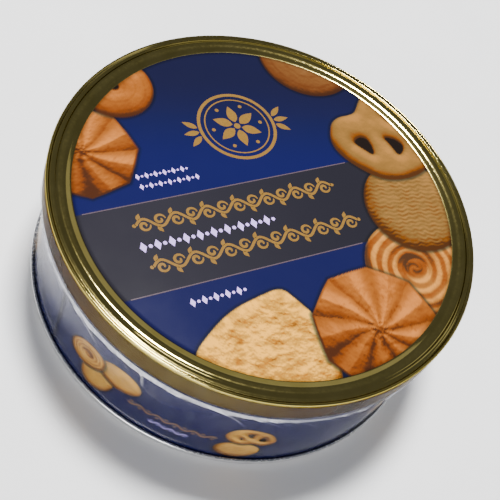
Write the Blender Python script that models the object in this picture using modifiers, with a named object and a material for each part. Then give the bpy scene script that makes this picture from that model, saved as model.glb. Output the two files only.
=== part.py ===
"""A round slip-lid cookie tin with its contents: lid, seamed wall and base, a clear seal band,
and four pleated paper cups of butter cookies. Metres, +Z up, the origin on the surface it stands on."""

import math

import bmesh
import bpy

MM = 0.001

# ---- Driving dimensions ----------------------------------------------------------------------
TIN_HEIGHT = 44.0 * MM
LID_RADIUS = 65.0 * MM          # outside of the lid's skirt
SKIRT_DEPTH = 9.0 * MM          # from the lid's top to the skirt's lower edge
SHEET = 0.3 * MM                # tinplate
GAP = 0.3 * MM                  # between pieces that touch on the real tin

WALL_RADIUS = LID_RADIUS - 1.8 * MM     # outside of the tin's wall
SEAM_RADIUS = WALL_RADIUS + 1.2 * MM    # outside of the rolled seam round the base
SEAM_HEIGHT = 2.2 * MM
PANEL_DROP = 1.1 * MM           # the lid's flat panel below its rim
LEDGE_DROP = 0.8 * MM           # the stacking ledge below the rim
LID_CURL = 0.65 * MM            # radius of the curled lower edge of the skirt
WALL_CURL = 0.8 * MM            # radius of the curled upper edge of the wall

FILM = 0.2 * MM                 # seal band
FILM_GAP = 0.35 * MM
FILM_TAPER = 5.4 * MM           # height in which the band narrows from the skirt to the wall

CUP_HEIGHT = 27.0 * MM
CUP_PAPER = 0.3 * MM
CUP_PLEATS = 24
CUP_FOOT_RADIUS = 23.6 * MM
CUP_MOUTH_RADIUS = 25.2 * MM
CUP_PLEAT_DEPTH = 1.2 * MM
CUP_CIRCLE = 36.2 * MM          # the cups' centres lie on this radius

COOKIE_RADIUS = 21.5 * MM
COOKIE_THICKNESS = 8.0 * MM
COOKIES_IN_A_CUP = 4
COOKIE_TURN = math.radians(37)  # each cookie in a stack is turned this much from the one below

TURN_STEPS = 60                 # facets round the tin
COOKIE_STEPS = 24

# ---- Heights that follow ---------------------------------------------------------------------
LEDGE_Z = TIN_HEIGHT - LEDGE_DROP
PANEL_Z = TIN_HEIGHT - PANEL_DROP
SKIRT_Z = TIN_HEIGHT - SKIRT_DEPTH
WALL_TOP_Z = LEDGE_Z - SHEET - GAP      # the wall's curl carries the ledge
FLOOR_Z = 2.0 * MM                      # underside of the base's panel
CUP_Z = FLOOR_Z + SHEET + GAP
STACK_Z = CUP_Z + CUP_PAPER + GAP

GOLD = (0.42, 0.31, 0.11)
NAVY = (0.02, 0.05, 0.17)
BARE_TIN = (0.72, 0.73, 0.74)
CLEAR = (0.92, 0.93, 0.95)
PAPER = (0.93, 0.91, 0.86)
BAKED = (0.78, 0.46, 0.17)


# ---- Tools -----------------------------------------------------------------------------------
def clear_scene():
    for obj in list(bpy.data.objects):
        bpy.data.objects.remove(obj)


def make_collection(name):
    collection = bpy.data.collections.new(name)
    bpy.context.scene.collection.children.link(collection)
    return collection


def make_material(name, color, roughness, metallic=0.0, alpha=1.0):
    material = bpy.data.materials.new(name)
    material.use_nodes = True
    shader = material.node_tree.nodes["Principled BSDF"]
    shader.inputs["Base Color"].default_value = (*color, 1.0)
    shader.inputs["Roughness"].default_value = roughness
    shader.inputs["Metallic"].default_value = metallic
    shader.inputs["Alpha"].default_value = alpha
    return material


def add_object(name, data, collection, material):
    data.materials.append(material)
    obj = bpy.data.objects.new(name, data)
    collection.objects.link(obj)
    return obj


def mesh_from(bm, name):
    mesh = bpy.data.meshes.new(name)
    bm.to_mesh(mesh)
    bm.free()
    mesh.shade_smooth()
    mesh.set_sharp_from_angle(angle=math.radians(35))
    return mesh


def profile_mesh(name, points):
    """An open chain of edges in the XZ plane, from (radius, height) points."""
    mesh = bpy.data.meshes.new(name)
    edges = [(i, i + 1) for i in range(len(points) - 1)]
    mesh.from_pydata([(radius, 0.0, z) for radius, z in points], edges, [])
    return mesh


def add_screw(obj, steps):
    screw = obj.modifiers.new("Turn", "SCREW")
    screw.steps = steps
    screw.render_steps = steps
    screw.use_merge_vertices = True
    screw.merge_threshold = 0.01 * MM
    screw.use_smooth_shade = True


def add_solidify(obj, thickness):
    solidify = obj.modifiers.new("Sheet", "SOLIDIFY")
    solidify.thickness = thickness
    solidify.offset = -1.0
    solidify.use_even_offset = True


def arc(center, radius, start, end, steps):
    """Points on an arc in the profile plane, angles in degrees, both ends included."""
    points = []
    for i in range(steps + 1):
        angle = math.radians(start + (end - start) * i / steps)
        points.append((center[0] + radius * math.cos(angle), center[1] + radius * math.sin(angle)))
    return points


def turned_sheet(name, points, thickness, collection, material):
    """Sheet metal or film: the outer face's profile, turned, with its thickness on the inside.
    The profile runs down its outer side."""
    obj = add_object(name, profile_mesh(name, points), collection, material)
    add_screw(obj, TURN_STEPS)
    add_solidify(obj, thickness)
    return obj


# ---- The tin ---------------------------------------------------------------------------------
def make_lid(collection, material):
    """Flat panel, dished slope, crest, stacking ledge, corner bead, skirt and inward curl."""
    r = LID_RADIUS
    rim = TIN_HEIGHT
    curl_center = (r - LID_CURL, SKIRT_Z + LID_CURL)
    profile = [
        (0.0, PANEL_Z),
        (r - 8.8 * MM, PANEL_Z),
        (r - 7.2 * MM, rim - 0.95 * MM),
        (r - 5.4 * MM, rim - 0.45 * MM),
        (r - 4.1 * MM, rim - 0.05 * MM),
        (r - 3.5 * MM, rim),
        (r - 2.85 * MM, rim - 0.2 * MM),
        (r - 2.3 * MM, LEDGE_Z),
        (r - 1.15 * MM, LEDGE_Z),
        (r - 0.85 * MM, rim - 0.45 * MM),
        (r - 0.45 * MM, rim - 0.3 * MM),
        (r - 0.1 * MM, rim - 0.5 * MM),
        (r, rim - 0.9 * MM),
    ]
    profile += arc(curl_center, LID_CURL, 0, -200, 5)
    return turned_sheet("lid", profile, SHEET, collection, material)


def make_body_wall(collection, material):
    """Rolled wall, curled inwards at the top and flanged outwards into the base seam."""
    curl_center = (WALL_RADIUS - WALL_CURL, WALL_TOP_Z - WALL_CURL)
    flange_z = 1.2 * MM
    profile = arc(curl_center, WALL_CURL, 240, 0, 6)
    profile += [
        (WALL_RADIUS, flange_z + 0.3 * MM),
        (WALL_RADIUS + 0.15 * MM, flange_z),
        (WALL_RADIUS + 0.55 * MM, flange_z),
    ]
    return turned_sheet("body_wall", profile, SHEET, collection, material)


def make_base_plate(collection, material):
    """Base with a stiffening bead, a countersink and the seam that folds round the wall's flange."""
    inner = WALL_RADIUS - 1.0 * MM      # the seam's face towards the axis
    outer = SEAM_RADIUS
    lip = WALL_RADIUS + GAP             # where the folded edge ends, beside the wall
    profile = [
        (lip, SEAM_HEIGHT - 0.55 * MM),
        (lip, SEAM_HEIGHT - 0.15 * MM),
        (outer - 0.45 * MM, SEAM_HEIGHT),
        (outer, SEAM_HEIGHT - 0.5 * MM),
        (outer, 0.45 * MM),
        (outer - 0.4 * MM, 0.0),
        (inner + 0.4 * MM, 0.0),
        (inner, 0.5 * MM),
        (inner, FLOOR_Z - 0.3 * MM),
        (inner - 0.8 * MM, FLOOR_Z + 0.4 * MM),
        (inner - 1.8 * MM, FLOOR_Z + 0.4 * MM),
        (inner - 2.6 * MM, FLOOR_Z),
        (8.5 * MM, FLOOR_Z),
        (7.5 * MM, FLOOR_Z - 0.5 * MM),
        (0.0, FLOOR_Z - 0.5 * MM),
    ]
    return turned_sheet("base_plate", profile, SHEET, collection, material)


def make_seal_band(collection, material):
    """Shrunk film round the skirt and the wall. It narrows below the skirt."""
    at_skirt = LID_RADIUS + FILM_GAP + FILM
    at_wall = WALL_RADIUS + FILM_GAP + FILM
    profile = [
        (at_skirt, TIN_HEIGHT - 0.7 * MM),
        (at_skirt, SKIRT_Z),
        (at_wall, SKIRT_Z - FILM_TAPER),
        (at_wall, SEAM_HEIGHT + 0.4 * MM),
    ]
    return turned_sheet("seal_band", profile, FILM, collection, material)


# ---- The contents ----------------------------------------------------------------------------
def make_cup(name, center, collection, material):
    """Pleated paper cup: an open cone whose every other edge is pressed in."""
    bm = bmesh.new()
    bmesh.ops.create_cone(
        bm, cap_ends=True, segments=2 * CUP_PLEATS,
        radius1=CUP_FOOT_RADIUS, radius2=CUP_MOUTH_RADIUS, depth=CUP_HEIGHT,
    )
    bm.faces.ensure_lookup_table()
    mouth = max(bm.faces, key=lambda face: face.calc_center_median().z)
    bmesh.ops.delete(bm, geom=[mouth], context="FACES_ONLY")
    pleat_angle = math.pi / CUP_PLEATS
    for vert in bm.verts:
        radius = math.hypot(vert.co.x, vert.co.y)
        index = round(math.atan2(vert.co.y, vert.co.x) / pleat_angle)
        if index % 2:
            scale = (radius - CUP_PLEAT_DEPTH) / radius
            vert.co.x *= scale
            vert.co.y *= scale
    cup = add_object(name, mesh_from(bm, name), collection, material)
    cup.location = (center[0], center[1], CUP_Z + CUP_HEIGHT / 2)
    add_solidify(cup, CUP_PAPER)


def ribbed_round_mesh():
    """Round cookie with soft edges, turned. Its ribs are too fine to matter here."""
    bm = bmesh.new()
    r = COOKIE_RADIUS
    t = COOKIE_THICKNESS
    profile = [(0, t), (r - 3 * MM, t), (r - 0.8 * MM, t - 1 * MM), (r, t - 3 * MM),
               (r, 1.6 * MM), (r - 1.2 * MM, 0), (0, 0)]
    verts = [bm.verts.new((radius, 0, z)) for radius, z in profile]
    edges = [bm.edges.new(pair) for pair in zip(verts, verts[1:])]
    bmesh.ops.spin(
        bm, geom=verts + edges, cent=(0, 0, 0), axis=(0, 0, 1),
        angle=2 * math.pi, steps=COOKIE_STEPS, use_merge=True,
    )
    bmesh.ops.remove_doubles(bm, verts=bm.verts, dist=0.01 * MM)
    bmesh.ops.recalc_face_normals(bm, faces=bm.faces)
    return mesh_from(bm, "ribbed_round")


def star_rosette_mesh():
    """Piped star: a low cone whose every other edge is pressed in."""
    petals = 9
    bm = bmesh.new()
    bmesh.ops.create_cone(
        bm, cap_ends=True, segments=2 * petals,
        radius1=COOKIE_RADIUS, radius2=7.0 * MM, depth=COOKIE_THICKNESS,
    )
    for vert in bm.verts:
        vert.co.z += COOKIE_THICKNESS / 2
        index = round(math.atan2(vert.co.y, vert.co.x) / (math.pi / petals))
        if index % 2:
            vert.co.x *= 0.9
            vert.co.y *= 0.9
    return mesh_from(bm, "star_rosette")


def swirl_ring_mesh():
    """Piped ring, flattened by baking."""
    tube = 8.8 * MM
    bpy.ops.mesh.primitive_torus_add(
        major_segments=20, minor_segments=8,
        major_radius=COOKIE_RADIUS - tube, minor_radius=tube,
    )
    torus = bpy.context.object
    mesh = torus.data
    mesh.name = "swirl_ring"
    bpy.data.objects.remove(torus)
    for vert in mesh.vertices:
        vert.co.z = vert.co.z * COOKIE_THICKNESS / (2 * tube) + COOKIE_THICKNESS / 2
    mesh.shade_smooth()
    return mesh


def pretzel_outline(angle):
    """Distance of the pretzel's edge from its middle: a circle with a notch at +Y."""
    away = (angle - math.pi / 2 + math.pi) % (2 * math.pi) - math.pi
    return COOKIE_RADIUS * (1 - 0.2 * math.exp(-((away / 0.42) ** 2)))


def pretzel_mesh():
    """Flat pretzel with a notch and three holes, from a filled 2D curve."""
    curve = bpy.data.curves.new("pretzel", "CURVE")
    curve.dimensions = "2D"
    curve.fill_mode = "BOTH"
    curve.extrude = COOKIE_THICKNESS / 2
    loops = [[]]
    outline_points = 28
    hole_points = 10
    for i in range(outline_points):
        angle = 2 * math.pi * i / outline_points
        radius = pretzel_outline(angle)
        loops[0].append((radius * math.cos(angle), radius * math.sin(angle)))
    holes = [(-8.6, 3.4, 4.4, 5.0), (8.6, 3.4, 4.4, 5.0), (0.0, -9.6, 5.0, 3.8)]
    for x, y, half_width, half_height in holes:
        hole = []
        for i in range(hole_points):
            angle = 2 * math.pi * i / hole_points
            hole.append(((x + half_width * math.cos(angle)) * MM,
                         (y + half_height * math.sin(angle)) * MM))
        loops.append(hole)
    for loop in loops:
        spline = curve.splines.new("POLY")
        spline.points.add(len(loop) - 1)
        spline.use_cyclic_u = True
        for point, (x, y) in zip(spline.points, loop):
            point.co = (x, y, 0, 1)
    source = bpy.data.objects.new("pretzel_curve", curve)
    bpy.context.scene.collection.objects.link(source)
    graph = bpy.context.evaluated_depsgraph_get()
    mesh = bpy.data.meshes.new_from_object(source.evaluated_get(graph))
    bpy.data.objects.remove(source)
    bm = bmesh.new()
    bm.from_mesh(mesh)
    bmesh.ops.remove_doubles(bm, verts=bm.verts, dist=0.01 * MM)
    bmesh.ops.translate(bm, verts=bm.verts, vec=(0, 0, COOKIE_THICKNESS / 2))
    bmesh.ops.recalc_face_normals(bm, faces=bm.faces)
    return mesh_from(bm, "pretzel")


def make_stack(kind, mesh, center, collection, material):
    """The cookies of one cup, which share a mesh, each an object of its own, numbered upwards."""
    mesh.materials.append(material)
    for i in range(COOKIES_IN_A_CUP):
        cookie = bpy.data.objects.new(f"{kind}_{i + 1}", mesh)
        collection.objects.link(cookie)
        cookie.location = (center[0], center[1], STACK_Z + i * (COOKIE_THICKNESS + GAP))
        cookie.rotation_euler = (0, 0, i * COOKIE_TURN)


def main():
    clear_scene()
    tin = make_collection("cookie_tin")
    gold = make_material("gold_lacquer", GOLD, 0.25, metallic=1.0)
    navy = make_material("navy_print", NAVY, 0.3)
    bare = make_material("bare_tinplate", BARE_TIN, 0.25, metallic=1.0)
    film = make_material("clear_film", CLEAR, 0.08, alpha=0.25)
    paper = make_material("cup_paper", PAPER, 0.8)
    baked = make_material("baked_dough", BAKED, 0.85)

    make_lid(tin, gold)
    make_body_wall(tin, navy)
    make_base_plate(tin, bare)
    make_seal_band(tin, film)

    kinds = {
        "pretzel": pretzel_mesh,
        "swirl_ring": swirl_ring_mesh,
        "ribbed_round": ribbed_round_mesh,
        "star_rosette": star_rosette_mesh,
    }
    for i, (kind, make_mesh) in enumerate(kinds.items()):
        angle = math.radians(45 + 90 * i)
        center = (CUP_CIRCLE * math.cos(angle), CUP_CIRCLE * math.sin(angle))
        make_cup(f"{kind}_cup", center, tin, paper)
        make_stack(kind, make_mesh(), center, tin, baked)


main()
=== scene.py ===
"""Looks of the cookie tin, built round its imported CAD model: gold-lacquered lid with a printed
panel, printed wall, bare base, clear seal band, pleated paper cups and butter cookies.

Everything printed or baked is painted by formula on a raster of numbers, which colours the
vertices of a fine mesh. Lengths below are in millimetres until a mesh is made."""

import math
from functools import partial

import bmesh
import bpy
import numpy as np
from mathutils import Matrix, Vector


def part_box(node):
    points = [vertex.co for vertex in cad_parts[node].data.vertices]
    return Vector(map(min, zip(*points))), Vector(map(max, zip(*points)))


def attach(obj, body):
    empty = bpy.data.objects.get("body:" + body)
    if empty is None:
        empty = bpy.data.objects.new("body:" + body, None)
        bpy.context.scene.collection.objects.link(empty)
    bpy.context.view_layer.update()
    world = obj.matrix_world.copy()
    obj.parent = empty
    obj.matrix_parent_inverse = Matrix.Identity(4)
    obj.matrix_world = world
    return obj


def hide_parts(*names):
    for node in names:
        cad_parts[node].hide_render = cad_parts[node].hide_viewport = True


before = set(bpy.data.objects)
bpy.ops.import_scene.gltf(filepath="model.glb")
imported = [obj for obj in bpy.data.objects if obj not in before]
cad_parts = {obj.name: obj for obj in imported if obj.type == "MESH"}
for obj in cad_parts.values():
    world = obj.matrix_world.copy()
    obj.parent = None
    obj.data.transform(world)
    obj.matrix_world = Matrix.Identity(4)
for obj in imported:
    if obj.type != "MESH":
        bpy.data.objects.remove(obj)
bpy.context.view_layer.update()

MM = 0.001


def fine(full):
    """A count or pitch for the full build."""
    return full


def wrapped(angle):
    """An angle in radians brought to the half turn on each side of zero."""
    return (angle + math.pi) % (2 * math.pi) - math.pi


def angles_round(count):
    return np.arange(count) * 2 * math.pi / count


# ---- Sizes read from the frame ----
def node_box(node):
    """The lowest and highest corner of a CAD node, in millimetres."""
    return [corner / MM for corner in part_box(node)]


LID_LO, LID_HI = node_box("lid")
WALL_TOP = node_box("body_wall")[1].z
BASE_HI = node_box("base_plate")[1]
BAND_LO, BAND_HI = node_box("seal_band")

LID_RADIUS = LID_HI.x
TOP = LID_HI.z
SKIRT_Z = LID_LO.z
WALL_RADIUS = LID_RADIUS - 1.8
SEAM_RADIUS = BASE_HI.x
SEAM_TOP = 2.2
SIDE_SEAM = -174.0                  # where the wall's sheet laps, in degrees
BRIGHTEST_TURN = 220                      # where the painted highlight on the seal band is strongest, in degrees
PANEL_Z = TOP - 1.1
PRINT_RADIUS = LID_RADIUS - 7.1     # the printed panel's edge, on the dish's slope
SHEET = 0.3
INK = 0.03                          # how far a printed layer stands off the metal under it
BAND_LOW, BAND_HIGH = -20.5, 7.7    # the charcoal band across the panel

# ---- Colours, as a screen shows them ----
NAVY_TOP = np.array((0.085, 0.125, 0.280))
NAVY_MID = np.array((0.070, 0.165, 0.430))
NAVY_LOW = np.array((0.090, 0.165, 0.400))
CHARCOAL = np.array((0.235, 0.225, 0.270))
CHARCOAL_DARK = np.array((0.175, 0.170, 0.215))
RULE_LILAC = (0.55, 0.46, 0.50)
GOLD_INK = (0.72, 0.56, 0.33)
WHITE_INK = (0.88, 0.86, 0.92)
# Baked tones from the darkest crease to the lightest crumb.
ORANGE_BAKE = ((0.44, 0.16, 0.10), (0.67, 0.29, 0.16), (0.75, 0.46, 0.27), (0.84, 0.64, 0.46))
CREAM_BAKE = ((0.46, 0.19, 0.10), (0.67, 0.33, 0.15), (0.68, 0.49, 0.28), (0.78, 0.60, 0.40))
BUTTER_BAKE = ((0.62, 0.33, 0.14), (0.79, 0.54, 0.27), (0.82, 0.67, 0.40), (0.89, 0.78, 0.55))
SWIRL_BAKE = ((0.45, 0.22, 0.14), (0.71, 0.34, 0.19), (0.76, 0.54, 0.33), (0.85, 0.69, 0.49))
OVEN_DARK = np.array((0.13, 0.07, 0.06))
SEAM_NAVY = (0.06, 0.07, 0.17)
WALL_GOLD, WALL_WHITE = (0.74, 0.57, 0.36), (0.80, 0.78, 0.84)
PRINT_LIGHT = Vector((0.24, 0.72, 0.60)).normalized()
PRINT_GLOSS, WALL_GLOSS = 0.35, 0.15    # specular level of the prints on lid and wall
LIGHT_LEVEL = 2.9                   # how brightly the studio shows a white sheet lying flat


def pigment(color):
    """What a surface must reflect to show as a screen colour in this studio, whose bright tones
    are rolled off as on film and whose strong hues fade a little."""
    d = np.clip(np.asarray(color, dtype=float), 0.0, 0.97)
    tone = 0.1444 * d ** 0.938 / (1.02 - d) ** 1.539
    unfade = np.array([[0.72, 0.32, -0.04], [0.0, 1.15, -0.15], [-0.06, 0.03, 1.03]])
    share = np.clip(tone @ unfade.T / LIGHT_LEVEL, 0.002, None)
    peak = share.max(axis=-1, keepdims=True)
    return np.minimum(share * np.minimum(1.0, 0.90 / peak) ** 0.6, 0.90)


# ---- Number fields ----
def smoothstep(low, high, x):
    t = np.clip((x - low) / (high - low), 0.0, 1.0)
    return t * t * (3.0 - 2.0 * t)


def mix(a, b, share):
    return a + (b - a) * share


def ripple(phase):
    """A wave between 0 and 1, at its crest where the phase in radians is 0."""
    return 0.5 + 0.5 * np.cos(phase)


def lattice_noise(x, y, size, seed):
    """Smooth noise from 0 to 1 with blobs about size across."""
    table = np.random.default_rng(seed).random((64, 64))
    gx, gy = x / size, y / size
    ix, iy = np.floor(gx).astype(int), np.floor(gy).astype(int)
    fx, fy = gx - ix, gy - iy
    fx, fy = fx * fx * (3 - 2 * fx), fy * fy * (3 - 2 * fy)
    a, b = table[ix % 64, iy % 64], table[(ix + 1) % 64, iy % 64]
    c, d = table[ix % 64, (iy + 1) % 64], table[(ix + 1) % 64, (iy + 1) % 64]
    return mix(mix(a, b, fx), mix(c, d, fx), fy)


def fractal(x, y, size, seed, octaves=4):
    total, weight = 0.0, 0.0
    for octave in range(octaves):
        share = 0.55 ** octave
        total += share * lattice_noise(x, y, size / 2 ** octave, seed + octave)
        weight += share
    return total / weight


def turned_about(x, y, center, turn):
    """Coordinates seen from a place, in a frame turned by an angle in degrees."""
    dx, dy = x - center[0], y - center[1]
    c, s = math.cos(math.radians(turn)), math.sin(math.radians(turn))
    return dx * c + dy * s, -dx * s + dy * c


def polygon_depth(x, y, corners):
    """How deep inside a polygon each point lies: positive inside, negative outside."""
    depth = np.full(np.shape(x), 1e9)
    inside = np.zeros(np.shape(x), dtype=bool)
    for (ax, ay), (bx, by) in zip(corners, corners[1:] + corners[:1]):
        ex, ey = bx - ax, by - ay
        t = np.clip(((x - ax) * ex + (y - ay) * ey) / (ex * ex + ey * ey), 0, 1)
        depth = np.minimum(depth, np.hypot(x - ax - t * ex, y - ay - t * ey))
        crosses = ((ay > y) != (by > y)) & (x < (bx - ax) * (y - ay) / (by - ay + 1e-12) + ax)
        inside ^= crosses
    return np.where(inside, depth, -depth)


def rounded_depth(x, y, corners, radius):
    """How deep each point lies inside an outline given in radii, once its corners are cut off
    twice, which rounds them."""
    corners = [(a * radius, b * radius) for a, b in corners]
    for _ in range(2):
        cut = []
        for a, b in zip(corners, corners[1:] + corners[:1]):
            cut.append((0.75 * a[0] + 0.25 * b[0], 0.75 * a[1] + 0.25 * b[1]))
            cut.append((0.25 * a[0] + 0.75 * b[0], 0.25 * a[1] + 0.75 * b[1]))
        corners = cut
    return polygon_depth(x, y, corners)


# ---- Shapes of the cookies: each gives depth inside its outline, height, and browning with painted shade in it ----
def rosette(u, v, radius, seed=1, petals=9):
    """Piped star: petals between grooves that run out to the corners, turned a little at the heart."""
    sector = 2 * math.pi / petals
    r = np.hypot(u, v) / radius
    angle = np.arctan2(v, u) + 0.35 * np.clip(1 - r, 0, 1) ** 2 + 0.10 * (fractal(u, v, 7.0, seed + 20) - 0.5)
    phase = (angle % sector) / sector - 0.5
    edge = mix(math.cos(sector / 2) / np.cos(phase * sector), 1.0, 0.15)
    rho = r / edge
    away = (0.5 - np.abs(phase)) * sector * r * radius
    groove = np.exp(-((away / (0.35 + 2.3 * r)) ** 2))
    heart = np.exp(-((r / 0.16) ** 2))
    crumbs = fractal(u, v, 1.5, seed + 40, 3)
    height = 7.5 * np.clip(1 - rho, 0, 1) ** 0.9 + (1 - (2 * np.abs(phase)) ** 1.15) * r * 3.6
    height += heart * (2.4 * crumbs - 0.6) + 0.45 * crumbs
    pits = smoothstep(0.66, 0.80, fractal(u, v, 1.0, seed + 60, 2)) * smoothstep(0.9, 0.5, rho)
    # Darker in the grooves and on the lower left side: painted shade on the cookies in the cups, printed
    # shading on the lid.
    browning_and_shade = 0.15 + 0.10 * rho ** 4 + 0.44 * groove + 0.22 * pits
    browning_and_shade += 0.30 * smoothstep(0.1, -0.9, (0.7 * u + 0.7 * v) / radius) - 0.08
    browning_and_shade += 0.30 * (fractal(u, v, 5.0, seed) - 0.5) + heart * 0.7 * (0.5 - crumbs)
    return (1 - rho) * radius, height, browning_and_shade


def swirl(u, v, radius, seed=2, hole=0.16):
    """Piped ring whose rope of dough winds in to the hole."""
    wobble = 1.3 * (fractal(u, v, 7.0, seed) - 0.5)
    r = np.hypot(u, v)
    around = np.hypot(u - 0.05 * radius, v) + wobble
    stripe = ripple(2 * math.pi * around / (0.20 * radius) - np.arctan2(v, u))
    middle, width = 0.5 * (1 + hole) * radius, 0.5 * (1 - hole) * radius
    ring = np.clip(1 - ((r - middle) / width) ** 2, 0, 1)
    pit = smoothstep(hole * radius * 1.5, hole * radius * 0.8, np.hypot(u - 0.10 * radius, v + 0.05 * radius))
    height = 4.2 * np.sqrt(ring) + 0.34 * stripe + 0.25 * fractal(u, v, 1.2, seed + 3)
    browning_and_shade = 0.02 + 0.62 * smoothstep(0.75, 0.25, stripe) + 0.25 * smoothstep(0.80, 1.0, r / radius)
    # Darker in the pit by the hole: painted shade on the cookies in the cups, printed shading on the lid and
    # wall.
    browning_and_shade += 0.70 * pit * smoothstep(0.1, 0.7, stripe)
    return radius - r, height, browning_and_shade + 0.25 * (fractal(u, v, 3.0, seed + 5) - 0.5)


def plain_ring(u, v, radius, seed=6):
    """Smooth ring with a pinhole and a few fine cracks round it."""
    r = np.hypot(u, v)
    wobble = 1.2 * (fractal(u, v, 5.0, seed) - 0.5)
    crack = smoothstep(0.80, 0.97, ripple(2 * math.pi * (r + wobble) / (0.26 * radius)))
    hole = smoothstep(0.15 * radius, 0.09 * radius, r)
    height = 6.0 * np.sqrt(np.clip(1 - (r / radius) ** 2, 0, 1)) - 1.6 * np.exp(-((r / (0.26 * radius)) ** 2))
    height += 0.30 * fractal(u, v, 1.3, seed + 3) - 0.05 * crack
    browning_and_shade = 0.22 + 0.08 * crack + 0.9 * hole + 0.20 * smoothstep(0.7, 1.0, r / radius)
    return radius - r, height, browning_and_shade + 0.30 * (fractal(u, v, 4.0, seed + 5) - 0.5)


def pretzel(u, v, radius, seed=3):
    """Baked pretzel, seen from above: a broad bow under a narrow neck, with three openings."""
    outline = [
        (-0.95, 0.36), (-0.82, 0.56), (-0.62, 0.66), (-0.38, 0.66), (-0.22, 0.70), (-0.08, 0.86),
        (0.10, 1.04), (0.50, 1.06), (0.92, 0.80), (1.08, 0.25), (1.00, -0.30), (0.72, -0.72),
        (0.30, -0.90), (-0.18, -0.90), (-0.50, -0.78), (-0.80, -0.48), (-1.02, -0.12), (-1.04, 0.16),
    ]
    holes = (
        [(-0.62, 0.07), (-0.40, 0.17), (-0.25, 0.04), (-0.32, -0.34), (-0.50, -0.10)],
        [(0.04, 0.07), (0.28, -0.02), (0.40, -0.24), (0.16, -0.44), (0.12, -0.18)],
        [(0.28, 0.52), (0.40, 0.50), (0.46, 0.34), (0.36, 0.32)],
    )
    depth = rounded_depth(u, v, outline, radius)
    pit = np.max([rounded_depth(u, v, hole, radius) for hole in holes], axis=0)
    near = np.minimum(depth, -pit)
    height = 3.6 * np.sqrt(np.clip(1 - (1 - np.clip(near / 3.4, 0, 1)) ** 2, 0, 1))
    height += 0.9 * fractal(u, v, 6.0, seed + 7, 2) + 0.20 * fractal(u, v, 1.4, seed + 3)
    low = smoothstep(0.25, -0.85, (0.75 * u + 0.9 * v) / radius - 0.05)
    browning_and_shade = 0.10 + 0.46 * smoothstep(5.5, 0.2, depth) * low + 0.24 * smoothstep(-1.2, 0.0, pit)
    browning_and_shade += 1.2 * smoothstep(-0.25, 0.35, pit) + 0.30 * (fractal(u, v, 5.0, seed) - 0.5)
    return depth, height, browning_and_shade


def ribbed(u, v, radius, seed=4):
    """Pressed round cookie with wavy, broken ribs across it and an edge browned on its lower left side,
    partly real browning and partly painted shade.
    """
    r = np.hypot(u, v) / radius
    drift = 4.5 * fractal(u, v, 4.5, seed)
    wave = 0.26 * np.sin(2 * math.pi * u / 3.6 + drift) + 1.5 * (fractal(u, v, 6.0, seed + 9) - 0.5)
    rib = 0.5 + 0.5 * np.sin(2 * math.pi * (v + wave) / 1.5)
    broken = smoothstep(0.25, 0.65, fractal(u, v, 2.4, seed + 13))
    height = 4.6 * np.sqrt(np.clip(1 - r ** 4, 0, 1)) + 0.26 * rib * mix(0.35, 1.0, broken)
    height += 0.35 * fractal(u, v, 1.0, seed + 3)
    # Darker in the rib troughs and at the lower left edge: painted shade on the cookies in the cups, printed
    # shading on the lid and wall; the edge's browning is partly real.
    side = smoothstep(0.7, -0.5, (0.7 * u + 0.6 * v) / radius)
    browning_and_shade = 0.08 + 0.26 * (1 - rib) ** 2 * broken + 0.52 * smoothstep(0.66, 0.95, r) * side
    return (1 - r) * radius, height, browning_and_shade + 0.35 * (fractal(u, v, 3.0, seed + 5) - 0.5)


def wedge(u, v, radius, seed=5):
    """Shortbread cut from a thick round: a broad crumbly face between pale, rounded edges."""
    corners = [
        (-1.04, -0.06), (-0.76, 0.14), (-0.45, 0.30), (-0.10, 0.37), (0.18, 0.41), (0.28, 0.24),
        (0.42, -0.04), (0.44, -0.36), (0.36, -0.80), (0.0, -1.1), (-0.7, -0.9), (-1.06, -0.30),
    ]
    depth = rounded_depth(u, v, corners, radius)
    grain = fractal(u * 0.8 + v * 0.5, v - u * 0.3, 2.4, seed, 5)
    patch = smoothstep(0.50, 0.64, fractal(u + 0.4 * v, v, 3.2, seed + 20, 3))
    height = 3.0 * smoothstep(0.0, 3.0, depth) + 2.2 * grain + 0.5 * fractal(u, v, 0.9, seed + 3)
    low = smoothstep(-0.25, -0.95, (v - 0.35 * u) / radius)
    browning_and_shade = 0.02 + 0.22 * patch + 0.22 * low + 0.45 * smoothstep(2.6, 0.2, depth) * low
    return depth, height, browning_and_shade + 0.90 * (0.5 - grain)


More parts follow.
